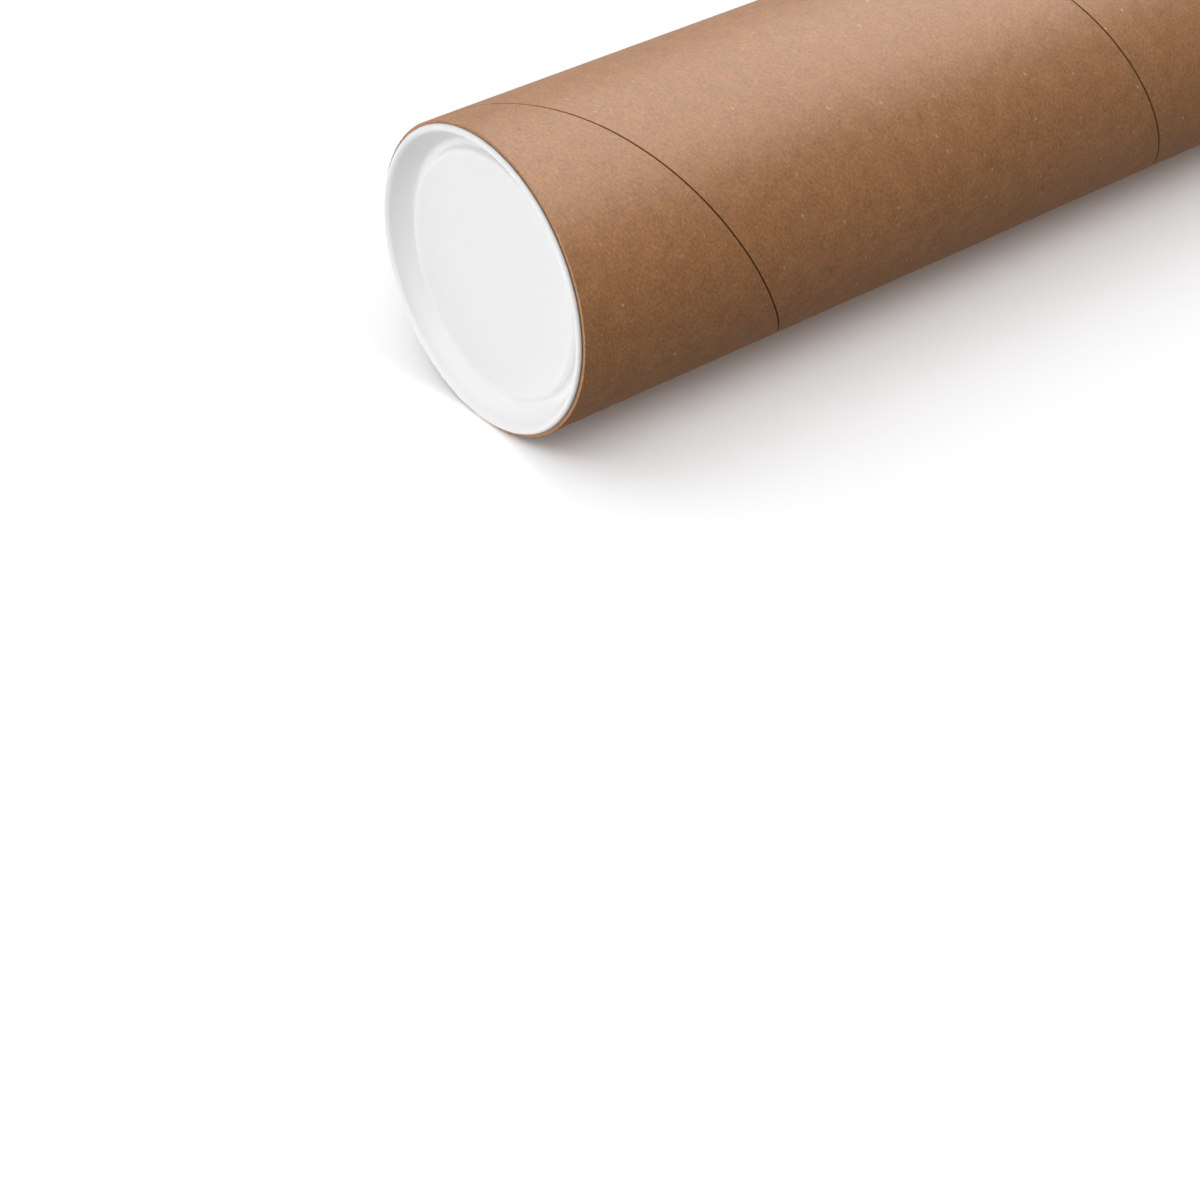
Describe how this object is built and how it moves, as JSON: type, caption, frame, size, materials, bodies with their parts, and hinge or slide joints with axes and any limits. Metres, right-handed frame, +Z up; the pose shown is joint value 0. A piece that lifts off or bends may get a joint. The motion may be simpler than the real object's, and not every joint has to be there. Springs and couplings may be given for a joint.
{
  "type": "cardboard mailing tube",
  "caption": "Round spiral-wound kraft cardboard mailing tube, closed at both ends by white push-in plastic caps with a dished face.",
  "frame": {"origin": "centre of the bottom cap's rim, on the surface that the tube stands on", "axes": "+Z up along the tube's axis, towards the top cap; the tube stands on its bottom cap"},
  "size_m": [0.08, 0.08, 0.4722],
  "materials": {
    "kraft_cardboard": "smooth brown kraft liner with fine fibres and a spiral seam",
    "white_plastic": "white moulded polyethylene with a soft sheen"
  },
  "bodies": {
    "tube": {"tube": "kraft_cardboard"},
    "top_cap": {"top_cap": "white_plastic"},
    "bottom_cap": {"bottom_cap": "white_plastic"}
  },
  "joints": [
    {"name": "top_cap_pull", "type": "slide", "parent": "tube", "child": "top_cap", "axis": [0, 0, 1], "range_m": [0, 0.06]},
    {"name": "bottom_cap_pull", "type": "slide", "parent": "tube", "child": "bottom_cap", "axis": [0, 0, -1], "range_m": [0, 0.06]}
  ]
}
